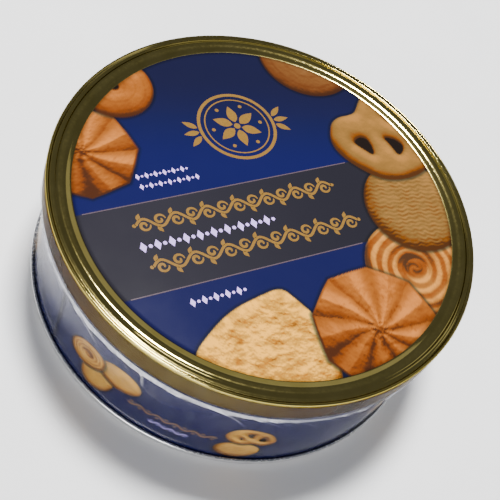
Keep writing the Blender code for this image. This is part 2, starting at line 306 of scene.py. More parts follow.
# ---- Painting ----
class Canvas:
    """A raster of screen colours over a rectangle given in millimetres."""

    def __init__(self, x_range, y_range, pitch):
        self.pitch = pitch
        self.x0, self.y0 = x_range[0], y_range[0]
        xs = np.arange(x_range[0], x_range[1] + pitch, pitch)
        ys = np.arange(y_range[0], y_range[1] + pitch, pitch)
        self.x, self.y = np.meshgrid(xs, ys)
        self.rgb = np.zeros((*self.x.shape, 3))

    def window(self, center, reach):
        """The part of the raster within reach of a place, as index ranges."""
        span = int(2 * reach / self.pitch) + 2
        ranges = []
        for middle, start, count in zip(center, (self.x0, self.y0), self.x.shape[::-1]):
            first = int((middle - reach - start) / self.pitch)
            ranges.append(slice(max(first, 0), min(max(first + span, 0), count)))
        return ranges[1], ranges[0]

    def cover(self, share, color, where=np.s_[:, :]):
        """Lays a colour over the raster, by how much of it each point takes."""
        share = np.asarray(share)[..., None]
        self.rgb[where] = mix(self.rgb[where], np.asarray(color), share)

    def coverage(self, depth):
        """A depth inside an outline as a soft-edged share from 0 to 1."""
        return np.clip(depth / self.pitch * 0.7 + 0.5, 0, 1)

    def cookie(self, shape, center, turn, radius, seed, bake=ORANGE_BAKE, squash=1.0, gain=1.0):
        """Paints a lit cookie and the faint shadow that it casts on the blue."""
        where = self.window(center, radius * 1.35)
        x, y = self.x[where], self.y[where]
        if x.size == 0:
            return
        u, v = turned_about(x, y, center, turn)
        depth, height, browning_and_shade = shape(u, v / squash, radius, seed)
        height = height * np.clip(depth / 0.8 + 0.3, 0, 1)
        self.rgb[where] *= 1 - 0.42 * smoothstep(-1.3, 0.0, depth)[..., None]
        rgb = lit_dough(height, browning_and_shade, depth, bake, self.pitch) * gain
        self.cover(self.coverage(depth), np.clip(rgb, 0, 1), where)

    def at(self, x, y):
        """Linear colours at any points, read between the raster's points."""
        fx = np.clip((x - self.x0) / self.pitch, 0, self.x.shape[1] - 1.001)
        fy = np.clip((y - self.y0) / self.pitch, 0, self.x.shape[0] - 1.001)
        ix, iy = fx.astype(int), fy.astype(int)
        tx, ty = (fx - ix)[:, None], (fy - iy)[:, None]
        low = mix(self.rgb[iy, ix], self.rgb[iy, ix + 1], tx)
        high = mix(self.rgb[iy + 1, ix], self.rgb[iy + 1, ix + 1], tx)
        return pigment(mix(low, high, ty))


def lit_dough(height, browning_and_shade, depth, bake, pitch):
    """Screen colours of a printed cookie: its baked tones under a soft light from the upper left."""
    slope_y, slope_x = np.gradient(height, pitch)
    facing = -slope_x * PRINT_LIGHT.x - slope_y * PRINT_LIGHT.y + PRINT_LIGHT.z
    facing = facing / np.sqrt(1 + slope_x ** 2 + slope_y ** 2)
    tone = 0.78 + 0.62 * (facing - PRINT_LIGHT.z) - 0.72 * browning_and_shade
    tone = np.clip(tone - 0.12 * smoothstep(0.9, 0.0, depth), 0, 1)
    dark, brown, gold, pale = (np.array(c) for c in bake)
    rgb = mix(dark, brown, smoothstep(0.0, 0.26, tone)[..., None])
    rgb = mix(rgb, gold, smoothstep(0.18, 0.58, tone)[..., None])
    rgb = mix(rgb, pale, smoothstep(0.50, 0.95, tone)[..., None])
    return mix(rgb, OVEN_DARK, smoothstep(0.95, 1.25, browning_and_shade)[..., None])


def paint_lid():
    """The panel's print: blue ground, charcoal band between two fine rules, cookies round the rim."""
    reach = PRINT_RADIUS + 1.0
    canvas = Canvas((-reach, reach), (-reach, reach), fine(0.16))
    x, y = canvas.x, canvas.y
    ground = mix(NAVY_MID, NAVY_TOP, smoothstep(12, 50, y + 0.25 * x)[..., None])
    ground = mix(ground, NAVY_LOW, smoothstep(5, -20, y)[..., None])
    canvas.rgb[:] = ground
    canvas.rgb += 0.004 * (fractal(x, y, 9.0, 70)[..., None] - 0.5)
    inside = canvas.coverage(np.minimum(y - BAND_LOW, BAND_HIGH - y))
    # The band is painted lighter at its left end: a painted haze of reflected light on the varnish.
    shade = smoothstep(-45, 30, x)[..., None]
    canvas.cover(inside, mix(CHARCOAL, CHARCOAL_DARK, shade))

    canvas.cookie(plain_ring, (37.8, 50.6), 20, 16.6, 21, gain=0.86)
    canvas.cookie(partial(rosette, petals=8), (-48.4, 28.4), -9, 16.6, 31)
    canvas.cookie(plain_ring, (-30.6, 49.4), 0, 11.9, 41)
    canvas.cookie(partial(swirl, hole=0.22), (34.6, -33.0), 165, 16.8, 51, SWIRL_BAKE)
    canvas.cookie(ribbed, (45.3, -12.4), -12, 16.4, 61, CREAM_BAKE, gain=0.96)
    canvas.cookie(pretzel, (48.0, 13.4), 0, 17.5, 71, CREAM_BAKE)
    canvas.cookie(wedge, (-15.0, -38.4), 0, 26.5, 81, BUTTER_BAKE)
    canvas.cookie(rosette, (12.4, -47.4), -7, 20.0, 91)
    return canvas


def paint_wall():
    """The wall's print, unrolled: two groups of cookies and two rows of ornament, four times
    round the tin."""
    around = 2 * math.pi * WALL_RADIUS
    canvas = Canvas((-around / 2, around / 2), (0, WALL_TOP), fine(0.2))
    x, y = canvas.x, canvas.y
    canvas.rgb[:] = mix(NAVY_LOW, NAVY_MID, smoothstep(5, 35, y)[..., None])
    for quarter in range(4):
        shift = around / 4 * quarter
        for shape, s, z, turn, radius, seed in (
            (ribbed, -172.5, 10.5, 60, 7.2, 11),
            (ribbed, -165.8, 19.0, 10, 7.4, 12),
            (swirl, -177.6, 16.8, 30, 7.2, 13),
            (ribbed, -126.8, 7.6, 0, 6.8, 14),
            (pretzel, -124.2, 16.6, 160, 7.4, 15),
        ):
            place = (s + shift + around / 2) % around - around / 2
            for copy in (place - around, place, place + around):
                canvas.cookie(
                    shape, (copy, z), turn, radius, seed + quarter, BUTTER_BAKE, squash=0.74, gain=0.96
                )
        for s, z, width, height, color in (
            (-147.5, 12.6, 27.0, 2.3, WALL_GOLD),
            (-147.5, 8.8, 12.0, 1.7, WALL_WHITE),
        ):
            place = (s + shift + around / 2) % around - around / 2
            u = x - place
            wave = 0.34 * height * np.sin(u * 2.6 / height)
            stroke = 0.30 - np.abs(y - z - wave) * 0.7
            canvas.cover(canvas.coverage(np.minimum(stroke, width / 2 - np.abs(u))), color)
            beads = np.hypot((u % (1.2 * height)) - 0.6 * height, y - z + wave)
            canvas.cover(canvas.coverage(np.minimum(0.20 * height - beads, width / 2 - np.abs(u))), color)
    return canvas


# ---- Mesh tools ----
def new_object(name, data):
    obj = bpy.data.objects.new(name, data)
    bpy.context.scene.collection.objects.link(obj)
    return obj


def mesh_object(name, verts, faces, smooth=True):
    """An object from millimetre vertices, an N by 3 array, and faces of one size or several."""
    mesh = bpy.data.meshes.new(name)
    verts = np.asarray(verts, dtype=float) * MM
    if isinstance(faces, np.ndarray):
        count, size = faces.shape
        mesh.vertices.add(len(verts))
        mesh.vertices.foreach_set("co", verts.ravel())
        mesh.loops.add(count * size)
        mesh.loops.foreach_set("vertex_index", faces.ravel().astype(np.int32))
        mesh.polygons.add(count)
        mesh.polygons.foreach_set("loop_start", np.arange(0, count * size, size, dtype=np.int32))
        mesh.update(calc_edges=True)
    else:
        mesh.from_pydata(verts.tolist(), [], faces)
    mesh.validate()
    if smooth:
        mesh.shade_smooth()
    return new_object(name, mesh)


def grid_faces(rows, columns, closed=False, looped=False):
    """Quads over a grid of rows by columns of vertices. If closed, its last column is joined to
    its first, and if looped, its last row to its first."""
    last_row = rows if looped else rows - 1
    last_column = columns if closed else columns - 1
    i, j = np.meshgrid(np.arange(last_row), np.arange(last_column), indexing="ij")
    near, far, k = i * columns, (i + 1) % rows * columns, (j + 1) % columns
    return np.stack([near + j, near + k, far + k, far + j], -1).reshape(-1, 4)


def polar(r, angle, z):
    """Points from radii, angles and heights."""
    return np.stack([r * np.cos(angle), r * np.sin(angle), z], -1)


def smooth_path(points, per_span=5):
    """A Catmull-Rom curve through points of any dimension."""
    p = np.asarray(points, dtype=float)
    p = np.vstack([2 * p[0] - p[1], p, 2 * p[-1] - p[-2]])
    t = np.linspace(0, 1, per_span, endpoint=False)[:, None]
    spans = []
    for a, b, c, d in zip(p, p[1:], p[2:], p[3:]):
        bend, twist = 2 * a - 5 * b + 4 * c - d, 3 * b - a - 3 * c + d
        spans.append(0.5 * (2 * b + (c - a) * t + bend * t ** 2 + twist * t ** 3))
    return np.vstack(spans + [p[-2:-1]])


def arc(center, radius, start, end, steps=8):
    angles = np.radians(np.linspace(start, end, steps + 1))
    return [(center[0] + radius * math.cos(a), center[1] + radius * math.sin(a)) for a in angles]


def sheet_loop(path, thickness):
    """The closed outline of sheet metal: a path and its copy one thickness to its right."""
    path = np.asarray(path)
    along = np.gradient(path, axis=0)
    along = along / np.linalg.norm(along, axis=1, keepdims=True)
    inner = path + np.stack([along[:, 1], -along[:, 0]], 1) * thickness
    return np.vstack([path, inner[::-1]])


def turned(name, loop, segments=288):
    """A closed outline in radius and height, turned about the tin's axis."""
    r, angle = np.meshgrid(np.clip(loop[:, 0], 0, None), angles_round(segments))
    verts = polar(r, angle, np.broadcast_to(loop[:, 1], r.shape)).reshape(-1, 3)
    obj = mesh_object(name, verts, grid_faces(segments, len(loop), closed=True, looped=True))
    tidy(obj)
    return obj


def tidy(obj):
    """Joins points that meet and turns the faces outwards."""
    bm = bmesh.new()
    bm.from_mesh(obj.data)
    bmesh.ops.remove_doubles(bm, verts=bm.verts, dist=0.002 * MM)
    bmesh.ops.recalc_face_normals(bm, faces=bm.faces)
    bm.to_mesh(obj.data)
    bm.free()
    obj.data.shade_smooth()
    obj.data.set_sharp_from_angle(angle=math.radians(50))


def color_vertices(obj, name, colors):
    attribute = obj.data.color_attributes.new(name, "FLOAT_COLOR", "POINT")
    values = np.ones((len(colors), 4), dtype=np.float32)
    values[:, :3] = colors
    attribute.data.foreach_set("color", values.ravel())


def number_vertices(obj, name, values):
    attribute = obj.data.attributes.new(name, "FLOAT", "POINT")
    attribute.data.foreach_set("value", np.asarray(values, dtype=np.float32))


# ---- Materials ----
class Shader:
    """A material's node tree, with short calls for the nodes used here."""

    def __init__(self, name):
        self.material = bpy.data.materials.new(name)
        self.material.use_nodes = True
        self.tree = self.material.node_tree
        self.bsdf = self.tree.nodes["Principled BSDF"]
        self.output = self.tree.nodes["Material Output"]
        self.place = self.node("ShaderNodeTexCoord").outputs["Object"]

    def node(self, kind, **settings):
        made = self.tree.nodes.new(kind)
        for key, value in settings.items():
            setattr(made, key, value)
        return made

    def wire(self, source, socket):
        if isinstance(source, (int, float)):
            socket.default_value = source
        elif isinstance(source, (tuple, list)):
            socket.default_value = (*source, 1.0) if len(source) == 3 and socket.type == "RGBA" else source
        else:
            self.tree.links.new(source, socket)

    def set(self, **sockets):
        for key, value in sockets.items():
            self.wire(value, self.bsdf.inputs[key.replace("_", " ")])

    def stretched(self, x, y, z):
        mapping = self.node("ShaderNodeMapping")
        mapping.inputs["Scale"].default_value = (x, y, z)
        self.wire(self.place, mapping.inputs["Vector"])
        return mapping.outputs["Vector"]

    def noise(self, size, detail=3.0, rough=0.55, at=None, distortion=0.0):
        """Noise with blobs about size millimetres across."""
        made = self.node("ShaderNodeTexNoise")
        made.inputs["Scale"].default_value = 1 / (size * MM)
        made.inputs["Detail"].default_value = detail
        made.inputs["Roughness"].default_value = rough
        made.inputs["Distortion"].default_value = distortion
        self.wire(at or self.place, made.inputs["Vector"])
        return made.outputs["Fac"]

    def ramp(self, share, *stops):
        """A ramp from (place, value) stops; a value is a reflected colour or a number."""
        made = self.node("ShaderNodeValToRGB")
        elements = made.color_ramp.elements
        while len(elements) < len(stops):
            elements.new(0.5)
        for element, (where, value) in zip(elements, stops):
            element.position = where
            rgb = value if isinstance(value, (tuple, np.ndarray)) else (value, value, value)
            element.color = (*rgb, 1.0)
        self.wire(share, made.inputs["Fac"])
        return made.outputs["Color"]

    def span(self, share, low, high):
        """A ramp over the middle of a noise, where most of its values lie."""
        return self.ramp(share, (0.3, low), (0.7, high))

    def math(self, operation, a, b=0.0, c=0.0):
        made = self.node("ShaderNodeMath", operation=operation)
        for value, socket in zip((a, b, c), made.inputs):
            self.wire(value, socket)
        return made.outputs["Value"]

    def blend(self, share, a, b, mode="MIX"):
        made = self.node("ShaderNodeMix", data_type="RGBA", blend_type=mode)
        self.wire(share, made.inputs["Factor"])
        self.wire(a, made.inputs[6])
        self.wire(b, made.inputs[7])
        return made.outputs[2]

    def attribute(self, name, output="Color"):
        return self.node("ShaderNodeAttribute", attribute_name=name).outputs[output]

    def bump(self, height, depth, strength=1.0, over=None):
        """Bump of a depth in millimetres."""
        made = self.node("ShaderNodeBump")
        made.inputs["Strength"].default_value = strength
        made.inputs["Distance"].default_value = depth * MM
        self.wire(height, made.inputs["Height"])
        if over is not None:
            self.wire(over, made.inputs["Normal"])
        return made.outputs["Normal"]


def gold_lacquer():
    """Gold lacquer over tinplate: bright on the bead and crest; rougher down the skirt, and painted darker
    and browner there, a painted shade for the dark surroundings that the skirt reflects.
    """
    s = Shader("gold_lacquer")
    cloud = s.noise(7.0, 4.0)
    rubbed = s.noise(0.9, 5.0, 0.65, at=s.stretched(1, 1, 0.25))
    height = s.node("ShaderNodeSeparateXYZ")
    s.wire(s.place, height.inputs[0])
    skirt = s.node("ShaderNodeMapRange", interpolation_type="SMOOTHSTEP")
    s.wire(height.outputs["Z"], skirt.inputs["Value"])
    skirt.inputs["From Min"].default_value = (TOP - 0.75) * MM
    skirt.inputs["From Max"].default_value = (TOP - 1.6) * MM
    bright = s.span(cloud, (0.38, 0.31, 0.09), (0.45, 0.37, 0.12))
    # A darker, browner copy of the gold for the skirt: painted shade for the dark surroundings that it
    # reflects.
    shaded_gold = s.span(cloud, (0.082, 0.064, 0.028), (0.110, 0.087, 0.039))
    s.set(
        Base_Color=s.blend(skirt.outputs[0], bright, shaded_gold),
        Metallic=1.0,
        Roughness=s.math("MULTIPLY_ADD", skirt.outputs[0], 0.22, s.ramp(rubbed, (0.30, 0.07), (0.75, 0.12))),
        Normal=s.bump(s.noise(0.5, 2.0), 0.0015, 0.4, over=s.bump(s.noise(6.0, 2.0), 0.02, 0.3)),
    )
    s.set(Specular_Tint=(0.22, 0.17, 0.09))
    return s.material


def varnished_print(name, gloss):
    """Ink on tinplate under a clear varnish, with the fine grain of the halftone."""
    s = Shader(name)
    grain = s.ramp(s.noise(0.18, 2.0), (0.25, 0.95), (0.75, 1.0))
    s.set(
        Base_Color=s.blend(1.0, s.attribute("ink"), grain, "MULTIPLY"),
        Roughness=s.span(s.noise(9.0, 3.0), 0.10, 0.12),
        Normal=s.bump(s.noise(2.5, 2.0), 0.0003, 0.4),
        Specular_IOR_Level=gloss,
    )
    return s.material


def printed_ink(name, color, shadow):
    """Ink of one colour, a little uneven: shadow is what its darker patches keep of it."""
    s = Shader(name)
    s.set(
        Base_Color=s.ramp(s.noise(0.7, 4.0, 0.7), (0.30, pigment(color) * shadow), (0.62, pigment(color))),
        Roughness=s.span(s.noise(1.2, 3.0), 0.12, 0.18),
        Normal=s.bump(s.noise(0.3, 2.0), 0.001, 0.4),
        Specular_IOR_Level=PRINT_GLOSS,
    )
    return s.material


def bare_tinplate():
    s = Shader("bare_tinplate")
    spangle = s.noise(2.2, 3.0, 0.5, distortion=0.6)
    s.set(
        Base_Color=s.span(spangle, (0.74, 0.74, 0.75), (0.86, 0.86, 0.87)),
        Metallic=1.0,
        Roughness=s.span(s.noise(0.8, 5.0, 0.7, at=s.stretched(1, 1, 6)), 0.16, 0.34),
        Normal=s.bump(s.noise(0.5, 3.0), 0.008, 0.5),
    )
    return s.material


def clear_film():
    """Shrunk film: see-through, with a gloss that grows towards the edge of sight, and white where
    its attribute of strain and painted highlight says: a little at its folds and under the skirt all round,
    and much more on one side, where it is a painted highlight and a painted haze."""
    s = Shader("clear_film")
    crease = s.noise(3.0, 4.0, 0.55, at=s.stretched(1, 1, 0.45), distortion=0.4)
    strain_and_highlight = s.attribute("strain_and_highlight", "Fac")
    normal = s.bump(crease, 0.10, 0.4)
    s.set(
        Base_Color=s.span(crease, (0.84, 0.84, 0.90), (0.93, 0.92, 0.97)),
        Metallic=s.ramp(strain_and_highlight, (0.05, 1.0), (0.50, 0.25)),
        Roughness=s.math("MULTIPLY_ADD", strain_and_highlight, 0.22, s.span(crease, 0.07, 0.16)),
        Normal=normal,
    )
    angle = s.node("ShaderNodeLayerWeight")
    angle.inputs["Blend"].default_value = 0.5
    s.wire(normal, angle.inputs["Normal"])
    head_on, at_edge = 0.004, 0.08
    gloss = s.math("MULTIPLY_ADD", s.math("POWER", angle.outputs["Facing"], 5.0), at_edge, head_on)
    share = s.math("ADD", gloss, s.ramp(crease, (0.35, 0.0), (0.75, 0.006)))
    share = s.math("ADD", share, s.math("MULTIPLY", strain_and_highlight, s.ramp(crease, (0.25, 0.55), (0.65, 1.0))))
    clear = s.node("ShaderNodeBsdfTransparent")
    film = s.node("ShaderNodeMixShader")
    s.wire(share, film.inputs[0])
    s.wire(clear.outputs[0], film.inputs[1])
    s.wire(s.bsdf.outputs[0], film.inputs[2])
    s.wire(film.outputs[0], s.output.inputs["Surface"])
    return s.material


def cup_paper():
    s = Shader("cup_paper")
    fibre = s.noise(0.5, 5.0, 0.7, at=s.stretched(1, 1, 0.3))
    stain = s.ramp(s.noise(6.0, 4.0, 0.6), (0.50, (0.62, 0.60, 0.54)), (0.68, (0.52, 0.44, 0.30)))
    grey = s.span(fibre, (0.72, 0.68, 0.60), (1.0, 0.98, 0.92))
    s.set(
        Base_Color=s.blend(0.35, stain, grey, "MULTIPLY"),
        Roughness=s.span(fibre, 0.62, 0.82),
        Normal=s.bump(fibre, 0.03, 0.5),
        Sheen_Weight=0.15,
    )
    return s.material


def baked_dough():
    """Butter cookie: pale crumb that darkens where its attribute of browning and painted shade says."""
    s = Shader("baked_dough")
    crumb = s.noise(0.8, 6.0, 0.7)
    blotch = s.noise(4.5, 3.0)
    brown = s.math("ADD", s.attribute("browning_and_shade", "Fac"), s.math("MULTIPLY_ADD", blotch, 0.5, -0.25))
    brown = s.math("ADD", brown, s.math("MULTIPLY_ADD", crumb, 0.36, -0.18))
    dark, deep, gold, pale = (pigment(c) for c in BUTTER_BAKE)
    color = s.ramp(brown, (0.0, pale), (0.30, gold), (0.80, deep), (1.0, dark))
    # The pores are sunk by the bump and also painted darker: painted shade in them.
    pores = s.ramp(s.noise(0.5, 2.0), (0.28, 0.0), (0.40, 1.0))
    s.set(
        Base_Color=s.blend(1.0, color, s.ramp(pores, (0.0, 0.55), (1.0, 1.0)), "MULTIPLY"),
        Roughness=s.span(crumb, 0.66, 0.88),
        Normal=s.bump(pores, 0.12, 0.6, over=s.bump(crumb, 0.35, 0.8)),
        Subsurface_Weight=0.08,
        Subsurface_Scale=0.8 * MM,
    )
    return s.material


def pale_floor():
    s = Shader("pale_floor")
    s.set(
        Base_Color=s.span(s.noise(60.0, 3.0), (0.86, 0.86, 0.86), (0.90, 0.90, 0.90)),
        Roughness=s.span(s.noise(8.0, 3.0), 0.72, 0.82),
        Specular_IOR_Level=0.2,
    )
    return s.material


def dress(obj, material, body, slot, *nodes):
    """Gives a piece its material and its body, and hides the CAD nodes that it stands for; its slot is not
    used.
    """
    obj.data.materials.clear()
    obj.data.materials.append(material)
    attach(obj, body)
    if nodes:
        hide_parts(*nodes)


# ---- The tin ----
def make_lid_shell(material):
    """The drawn lid, from its panel over crest, ledge and corner bead down to the curled hem."""
    hem = 0.65
    slope = (12.0, 0.0), (8.8, 0.0), (7.5, 0.01), (6.9, 0.10), (6.2, 0.42), (5.5, 0.77), (4.8, 0.98)
    rim = (
        (4.0, 0.03), (3.5, 0.015), (3.0, 0.13),                                  # crest
        (2.62, 0.50), (2.30, 0.70), (1.75, 0.81), (1.28, 0.88),                  # ledge
        (0.98, 0.62), (0.60, 0.30), (0.26, 0.34), (0.06, 0.62), (0.0, 1.1), (0.0, 2.6),  # corner bead
    )
    dish = smooth_path(
        [(LID_RADIUS - inset, PANEL_Z + rise) for inset, rise in slope]
        + [(LID_RADIUS - inset, TOP - drop) for inset, drop in rim], 6,
    )
    curl = arc((LID_RADIUS - hem, SKIRT_Z + hem), hem, 0, -200, 14)
    path = np.vstack([[(0.0, PANEL_Z)], dish, [(LID_RADIUS, SKIRT_Z + 2.0)], curl])
    dress(turned("lid_shell", sheet_loop(path, SHEET)), material, "lid", "gold_lacquer", "lid")


def disc_grid(count, radius):
    """Points spread evenly over a disc: a square grid pushed out to a circle ring by ring."""
    side = np.linspace(-1, 1, count)
    a, b = np.meshgrid(side, side)
    wide = np.abs(a) > np.abs(b)
    reach = np.where(wide, a, b)
    share = np.where(wide, b, a) / np.where(reach == 0, 1, reach) * math.pi / 4
    x = np.where(wide, reach * np.cos(share), reach * np.sin(share))
    y = np.where(wide, reach * np.sin(share), reach * np.cos(share))
    return x.ravel() * radius, y.ravel() * radius


def panel_height(r):
    """Height of the lid's metal at a radius within the print."""
    return PANEL_Z + 0.08 * smoothstep(LID_RADIUS - 8.0, LID_RADIUS - 7.0, r)


def make_lid_print(material):
    """The printed panel, with painted shade darkening it where its edge climbs the dish's slope."""
    count = fine(316)
    x, y = disc_grid(count, PRINT_RADIUS)
    z = panel_height(np.hypot(x, y)) + INK
    obj = mesh_object("lid_print", np.stack([x, y, z], 1), grid_faces(count, count))
    # Painted shade: the print is darkened towards its edge, as though shaded by the dish.
    shade = smoothstep(PRINT_RADIUS + 0.3, PRINT_RADIUS - 1.4, np.hypot(x, y))[:, None]
    color_vertices(obj, "ink", paint_lid().at(x, y) * mix(0.45, 1.0, shade))
    dress(obj, material, "lid", "navy_print")


def make_wall(print_material, inner_material):
    """The rolled wall: an inner shell with its curl and flange, and the printed outer face."""
    curl = 0.8
    lip = arc((WALL_RADIUS - curl, WALL_TOP - curl), curl, 240, 0, 14)
    flange = [(WALL_RADIUS, 3.0), (WALL_RADIUS, 1.5), (WALL_RADIUS + 0.15, 1.2), (WALL_RADIUS + 0.5, 1.2)]
    shell = turned("wall_shell", sheet_loop(np.vstack([lip, flange]), SHEET))
    dress(shell, inner_material, "tin", "bare_tinplate", "body_wall")

    around, rows = fine((900, 105))
    heights = np.linspace(SEAM_TOP - 0.4, WALL_TOP - curl, rows)
    a, z = np.meshgrid(-math.pi + angles_round(around), heights)
    seam = np.degrees(a) - SIDE_SEAM
    lap = 0.15 * (smoothstep(-1.0, -0.6, seam) - smoothstep(0.6, 1.0, seam))
    verts = polar(WALL_RADIUS + INK + lap, a, z).reshape(-1, 3)
    obj = mesh_object("wall_print", verts, grid_faces(rows, around, closed=True))
    colors = paint_wall().at((a * WALL_RADIUS).ravel(), z.ravel())
    dark = (smoothstep(-1.0, -0.7, seam) - smoothstep(0.7, 1.0, seam)).ravel()[:, None]
    color_vertices(obj, "ink", mix(colors, pigment(SEAM_NAVY), 0.9 * dark))
    dress(obj, print_material, "tin", "navy_print")


def make_base(material):
    """The base sheet: its rolled seam over the wall's flange, the foot and the raised floor."""
    inner, outer = WALL_RADIUS - 1.0, SEAM_RADIUS
    floor, foot = BASE_HI.z - 0.7, 0.03
    path = smooth_path([
        (WALL_RADIUS + 0.3, SEAM_TOP - 0.55), (WALL_RADIUS + 0.32, SEAM_TOP - 0.2),
        (outer - 0.65, SEAM_TOP - 0.02), (outer - 0.2, SEAM_TOP - 0.2), (outer, SEAM_TOP - 0.6),
        (outer, 0.7), (outer - 0.12, 0.2), (outer - 0.5, foot), (inner + 0.4, foot), (inner + 0.1, 0.2),
        (inner, 0.6), (inner, floor - 0.3), (inner - 0.3, floor + 0.2), (inner - 0.8, floor + 0.4),
        (inner - 1.8, floor + 0.4), (inner - 2.6, floor), (inner - 6.0, floor), (inner - 20.0, floor),
        (8.5, floor), (7.5, floor - 0.5), (0.0, floor - 0.5),
    ], 5)
    dress(turned("base_sheet", sheet_loop(path, SHEET)), material, "tin", "bare_tinplate", "base_plate")


def film_folds(a, z):
    """How far the film stands out in folds, which run down and aslant from under the skirt."""
    rng = np.random.default_rng(500)
    swell, count = np.zeros(np.shape(a)), 64
    for i in range(count):
        start = 2 * math.pi * (i + rng.uniform(-0.4, 0.4)) / count
        lean, length = rng.uniform(-1.2, 2.6), rng.uniform(4.0, 13.0)
        width, lift = rng.uniform(0.5, 1.1), rng.uniform(0.12, 0.42)
        down = np.clip((SKIRT_Z - 0.8 - z) / length, 0, 1)
        across = wrapped(a - start) * WALL_RADIUS - lean * down * length
        across = np.abs(across) / (width * (1 + 1.2 * down))
        swell = np.maximum(swell, lift * np.clip(1 - across, 0, 1) ** 1.5 * np.sqrt(down) * (1 - down) * 2.4)
    return swell


def make_film(material):
    """The seal band: film drawn tight on skirt and wall, creased where it narrows between them."""
    around, thickness = fine(1080), 0.08
    out_skirt, out_wall = BAND_HI.x - 0.25, WALL_RADIUS + 0.30
    path = smooth_path([
        (out_skirt - 0.15, BAND_HI.z - 0.05), (out_skirt, BAND_HI.z - 0.6), (out_skirt, 39.0),
        (out_skirt, SKIRT_Z + 1.0), (out_skirt - 0.03, SKIRT_Z - 0.1), (out_skirt - 0.18, SKIRT_Z - 1.4),
        (out_skirt - 0.55, SKIRT_Z - 2.9), (out_wall + 0.65, SKIRT_Z - 4.6),
        (out_wall + 0.22, SKIRT_Z - 6.6), (out_wall, SKIRT_Z - 9.5), (out_wall, 16.0), (out_wall, 10.0),
        (out_wall, BAND_LO.z + 0.1),
    ], 9)
    a, row = np.meshgrid(angles_round(around), np.arange(len(path)))
    z = path[row, 1]
    folds = film_folds(a, z)
    r = np.minimum(path[row, 0] + folds, BAND_HI.x - 0.05)
    outer, inner = polar(r, a, z), polar(r - thickness, a, z)
    verts = np.concatenate([outer, inner[::-1], outer[:1]]).reshape(-1, 3)
    film = mesh_object("seal_film", verts, grid_faces(2 * len(path) + 1, around, closed=True))
    under = smoothstep(SKIRT_Z - 4.4, SKIRT_Z - 3.0, z) * smoothstep(SKIRT_Z + 0.1, SKIRT_Z - 0.3, z)
    patchy = 0.55 + 0.45 * fractal(a * WALL_RADIUS, z * 0.3, 7.0, 510)
    # Painted highlight: the strip under the skirt and the folds are whitened far more round one turn, where
    # the light catches the film, and the wall gets a faint painted haze of reflected light there.
    toward_highlight = np.exp(-((wrapped(a - math.radians(BRIGHTEST_TURN)) / 0.75) ** 2))
    haze = smoothstep(4.0, 24.0, z) * smoothstep(SKIRT_Z + 1.0, SKIRT_Z - 2.0, z)
    strain_and_highlight = 0.85 * under * patchy * mix(0.10, 1.0, toward_highlight)
    strain_and_highlight += (0.06 + 0.45 * toward_highlight) * np.clip(folds / 0.30, 0, 1) ** 2
    strain_and_highlight += 0.035 * toward_highlight * haze
    number_vertices(film, "strain_and_highlight", np.concatenate([strain_and_highlight, strain_and_highlight[::-1], strain_and_highlight[:1]]).ravel())
    tidy(film)
    dress(film, material, "tin", "clear_film", "seal_band")


# ---- Ornament in place of lettering ----
def ribbon(points, widths):
    """A flat brush stroke: verts and quads along a path, of one width or of a width at each point."""
    p = np.asarray(points, dtype=float)
    along = np.gradient(p, axis=0)
    along = along / (np.linalg.norm(along, axis=1, keepdims=True) + 1e-9)
    side = np.stack([-along[:, 1], along[:, 0]], 1) * np.broadcast_to(widths, len(p))[:, None] / 2
    verts = np.empty((2 * len(p), 2))
    verts[0::2], verts[1::2] = p + side, p - side
    faces = [(2 * i, 2 * i + 1, 2 * i + 3, 2 * i + 2) for i in range(len(p) - 1)]
    return verts, faces


def placed(x, y, center, turn=0.0):
    """One face from its outline, turned by an angle in degrees and moved to its place."""
    c, s = math.cos(math.radians(turn)), math.sin(math.radians(turn))
    return np.stack([center[0] + x * c - y * s, center[1] + x * s + y * c], 1), [tuple(range(len(x)))]


def spoke(center, distance, turn):
    """The point at a distance from a centre, at an angle in degrees."""
    angle = math.radians(turn)
    return center[0] + distance * math.cos(angle), center[1] + distance * math.sin(angle)


def disc(center, rx, ry=None, points=20):
    a = np.linspace(0, 2 * math.pi, points, endpoint=False)
    return placed(rx * np.cos(a), (ry or rx) * np.sin(a), center)


def leaf(base, length, width, turn, points=9):
    """A pointed leaf from its stalk end."""
    t = np.linspace(0, 1, points)
    half = width / 2 * np.sin(math.pi * t ** 0.8)
    x, y = np.append(t, t[-2:0:-1]) * length, np.append(half, -half[-2:0:-1])
    return placed(x, y, base, turn)


def stroke(points, width, taper=0.35):
    """A ribbon through points whose ends are thinner than its middle."""
    path = smooth_path(points, 7)
    t = np.linspace(0, 1, len(path))
    return ribbon(path, width * (taper + (1 - taper) * np.sin(math.pi * t) ** 0.6))


def vine_row(start, end, y, height, pitch):
    """A running vine: a waved stem with a curl and a leaf in each bend."""
    count = round((end - start) / pitch)
    step = (end - start) / count
    stem = []
    for i in range(count * 6 + 1):
        stem.append((start + step * i / 6, y + 0.32 * height * math.sin(2 * math.pi * i / 12)))
    shapes = [ribbon(smooth_path(stem, 3), 0.16 * height)]
    for i in range(count):
        middle = start + step * (i + 0.5)
        side = 1 if i % 2 == 0 else -1
        center = (middle, y - side * 0.10 * height)
        turns = np.radians(np.linspace(0, 400, 15))
        radii = np.linspace(0.34, 0.07, 15) * height
        curl = np.stack([center[0] + radii * np.cos(turns), center[1] - side * radii * np.sin(turns)], 1)
        shapes.append(stroke(curl, 0.17 * height))
        stalk = (middle - 0.30 * step, y + side * 0.30 * height)
        shapes.append(leaf(stalk, 0.46 * height, 0.24 * height, 60 * side))
    return shapes + [disc((x, y), 0.11 * height) for x in (start - 0.5, end + 0.5)]


def bead_row(start, end, y, height, pitch):
    """A row of lozenges with round beads between them."""
    shapes = []
    count = round((end - start) / pitch)
    for i in range(count + 1):
        x = start + (end - start) * i / count
        if i % 2 == 0:
            shapes.append(disc((x, y), 0.30 * height, 0.50 * height, points=4))
        else:
            shapes.append(disc((x, y), 0.17 * height, points=14))
    return shapes


